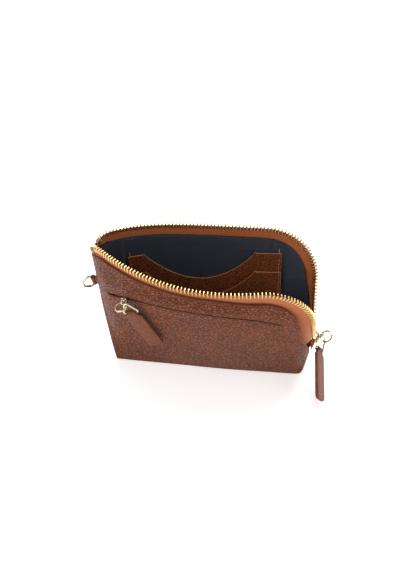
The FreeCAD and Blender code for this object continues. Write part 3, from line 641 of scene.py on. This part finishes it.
# ---- the pocket and its zip ------------------------------------------------------------
# A thin bag of the lining cloth behind the front leather, with a small brass zip whose
# tapes are sewn under both edges of the opening.
bag = worked_copy("pocket_bag", "pocket_bag_cloth", navy, rim=0.08, steps=1)
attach(bag, "pouch")
for name, low, high in (("pocket_zip_tape_upper", 1.5, 6.0), ("pocket_zip_tape_lower", -6.5, -1.5)):
    tape = cut_ply(
        name + "_woven", lambda u: beside_slit(u, low), lambda u: beside_slit(u, high),
        slit_start - slit_reach, slit_end + slit_reach, 150, 6,
        lambda x, tall, ruling, share: room(ruling, share) - 2.8, 0.5, -1, (tan_tape,), rim=0.1)
    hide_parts(name)
    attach(tape, "pouch")
row = worked_copy("pocket_zip_teeth", "pocket_zip_teeth_brass", brass, rim=0.15, steps=1)
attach(row, "pouch")

# ---- sliders, rings and links ----------------------------------------------------------
# Cast and bent metal plated a pale gold.  The sliders carry a bail, a round ring hangs in
# it, and a triangular link joins the ring to each leather puller.
pale_gold = plain("ring_metal", (0.62, 0.53, 0.38), 0.20, metal=1.0, grain=600.0, depth=0.04, shift=0.05)
for node in ("main_slider", "pocket_slider"):
    slider = worked_copy(node, node + "_cast", pale_gold, rim=0.22, steps=3, melt=1.0)
    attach(slider, node)
for node in ("main_ring", "main_link", "pocket_ring", "pocket_link", "d_ring", "inner_ring"):
    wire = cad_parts[node].data
    wire.materials.clear()
    wire.materials.append(pale_gold)

# ---- the leather pullers and the side tab ----------------------------------------------
# Each puller is two layers of leather folded through its link, glued and sewn round the
# edge.  The side tab is a short folded strap that holds the ring for a wrist strap.
# the second colour is the painted shade in the creases of the grain
smooth_leather = leather("puller_leather", (0.200, 0.056, 0.020), (0.070, 0.018, 0.007),
                         pebble=800.0, gloss=0.42, depth=0.35)
for node, body in (("main_puller_tab", "main_puller"), ("pocket_puller_tab", "pocket_puller"),
                   ("side_tab", "pouch")):
    tab = worked_copy(node, node + "_leather", smooth_leather, rim=0.5, steps=3)
    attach(tab, body)
loop_cloth = plain("loop_cloth", (0.020, 0.024, 0.036), 0.85)
loop = worked_copy("inner_loop", "inner_loop_cloth", loop_cloth, rim=0.2)
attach(loop, "pouch")

# ---- the stitching ---------------------------------------------------------------------
# Waxed thread, about eight stitches to 25 mm.  Every stitch is a short rounded length of
# thread that dips into its holes at both ends.
thread = plain("thread", (0.085, 0.028, 0.014), 0.6, grain=3000.0, depth=0.4)
blue_thread = plain("blue_thread", (0.11, 0.12, 0.16), 0.6, grain=3000.0, depth=0.4)
light_thread = plain("light_thread", (0.46, 0.24, 0.12), 0.6, grain=3000.0, depth=0.4)


def sew(name, x, tall, side, lift, material, pitch=3.1, long=2.3, wide=0.42):
    """A row of stitches along flat places; lift is the height of the sewn face."""
    place, ruling, share = laid(x, tall, side)
    up = outward(x, tall, side)
    level = lift(x, tall, ruling, share) if callable(lift) else np.full(x.shape, lift)
    path = place + up * level[..., None]
    run = np.concatenate([[0.0], np.cumsum(np.linalg.norm(np.diff(path, axis=0), axis=-1))])
    bm = bmesh.new()
    for k in range(int(run[-1] / pitch)):
        middle = (k + 0.5) * pitch
        a, b, m = [Vector([np.interp(d, run, path[:, i]) for i in range(3)])
                   for d in (middle - long / 2, middle + long / 2, middle)]
        rise = Vector([np.interp(middle, run, up[:, i]) for i in range(3)]).normalized()
        along = (b - a).normalized()
        across = rise.cross(along).normalized()
        turn = Matrix((along, across, along.cross(across))).transposed().to_4x4()
        size = Matrix.Diagonal((long / 2, wide / 2, wide / 2, 1.0))
        bmesh.ops.create_uvsphere(bm, u_segments=8, v_segments=6, radius=1.0 * mm,
                                  matrix=Matrix.Translation(m * mm) @ turn @ size)
    piece = finish_piece(bm, name, material)
    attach(piece, "pouch")


def front_face(x, tall, ruling, share):
    """Height of the front panel's outer face."""
    return front_out(x, tall, ruling, share) + leather_t


def yoke_face(x, tall, ruling, share):
    """Height of the yoke's outer face."""
    return yoke_out(x, tall, ruling, share) + leather_t


fine = np.linspace(0.0, 1.0, 400)
back_face = leather_in + leather_t + back_ease
seam_in = 1.8
inside = slit_start - 0.02 + (slit_end - slit_start + 0.05) * fine
sew("stitches_below_opening", *beside_slit(inside, -gap_half(inside) - 1.7), -1, front_face, thread)
sew("stitches_above_opening", *beside_slit(inside, gap_half(inside) + 1.7), -1, yoke_face, thread)
along_top = 0.03 + 0.93 * fine
sew("stitches_front_edge", *top_edge(along_top, -1, edge_front(along_top) + seam_in), -1,
    yoke_face, thread)
sew("stitches_back_edge", *top_edge(along_top, 1, back_edge + seam_in), 1, back_face, thread)
sew("stitches_lining", card_left + (card_right - card_left) * fine, np.full(fine.shape, 96.5), 1,
    lining_in - 0.05, blue_thread)
for side, name in ((-1, "front"), (1, "back")):
    face = front_face if side < 0 else back_face
    for u, where in ((0.0, "left"), (1.0, "right")):
        share = 0.05 + (0.60 if side < 0 else 0.86) * fine
        x, tall = flat_ruling(np.full(share.shape, u), share)
        inward = 2.2 if u < 0.5 else -2.2
        sew("stitches_%s_%s" % (name, where), x + inward, tall, side, face, thread)
for x, top, where in ((card_left + 1.6, 80.0, "left"), (card_right - 1.6, 85.5, "right")):
    rise = 24.0 + (top - 24.0) * fine
    sew("stitches_cards_" + where, np.full(rise.shape, x), rise, 1, lining_in - 2.5, light_thread)
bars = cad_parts["card_bartacks"].data
bars.materials.clear()
bars.materials.append(light_thread)

# ---- the floor, light and camera -------------------------------------------------------
# A white table in a soft white studio, seen from above and a little to the right.
# One large light hangs overhead and two weaker ones stand at the front and the right.
bm = bmesh.new()
bmesh.ops.create_grid(bm, x_segments=1, y_segments=1, size=6.0)
white = plain("table_white", (0.92, 0.92, 0.92), 0.7, grain=30.0, depth=0.0, shift=0.0)
table_skin = white.node_tree.nodes["Principled BSDF"]
table_skin.inputs["Emission Color"].default_value = (1.0, 1.0, 1.0, 1.0)
table_skin.inputs["Emission Strength"].default_value = 0.5
finish_piece(bm, "table", white, smooth_faces=False)


def softbox(name, place, size, power, target=(0.0, 0.0, 0.05)):
    """A large soft light turned to the pouch."""
    light = bpy.data.lights.new(name, "AREA")
    light.shape = "RECTANGLE"
    light.size, light.size_y = size
    light.energy = power
    lamp = bpy.data.objects.new(name, light)
    bpy.context.collection.objects.link(lamp)
    lamp.location = place
    lamp.rotation_euler = (Vector(target) - Vector(place)).to_track_quat("-Z", "Y").to_euler()


softbox("overhead", (0.05, 0.35, 0.95), (0.8, 0.6), 12.5)
softbox("front_left", (-0.75, -0.55, 0.55), (0.7, 0.6), 3.6)
softbox("right", (0.85, -0.25, 0.5), (0.5, 0.6), 1.8)
world = bpy.data.worlds.new("studio")
bpy.context.scene.world = world
world.use_nodes = True
world.node_tree.nodes["Background"].inputs["Color"].default_value = (1.0, 1.0, 1.0, 1)
world.node_tree.nodes["Background"].inputs["Strength"].default_value = 0.42
bpy.context.scene.view_settings.view_transform = "Standard"

turn, tilt, roll, away = math.radians(8.02), math.radians(38.38), math.radians(-0.65), 0.59865
back_way = Vector((math.sin(turn) * math.cos(tilt), -math.cos(turn) * math.cos(tilt), math.sin(tilt)))
level_right = Vector((math.cos(turn), math.sin(turn), 0.0))
level_up = back_way.cross(level_right)
right_way = level_right * math.cos(roll) + level_up * math.sin(roll)
up_way = level_up * math.cos(roll) - level_right * math.sin(roll)
lens = bpy.data.cameras.new("camera")
lens.lens = 49.97
lens.sensor_width = 36.0
lens.sensor_fit = "AUTO"
lens.shift_x = 0.0078
lens.shift_y = 0.0114
lens.clip_start = 0.01
camera = bpy.data.objects.new("camera", lens)
bpy.context.collection.objects.link(camera)
camera.matrix_world = Matrix.Translation(Vector((0.0, 0.0, 0.05)) + back_way * away) @ \
    Matrix((right_way, up_way, back_way)).transposed().to_4x4()
bpy.context.scene.camera = camera
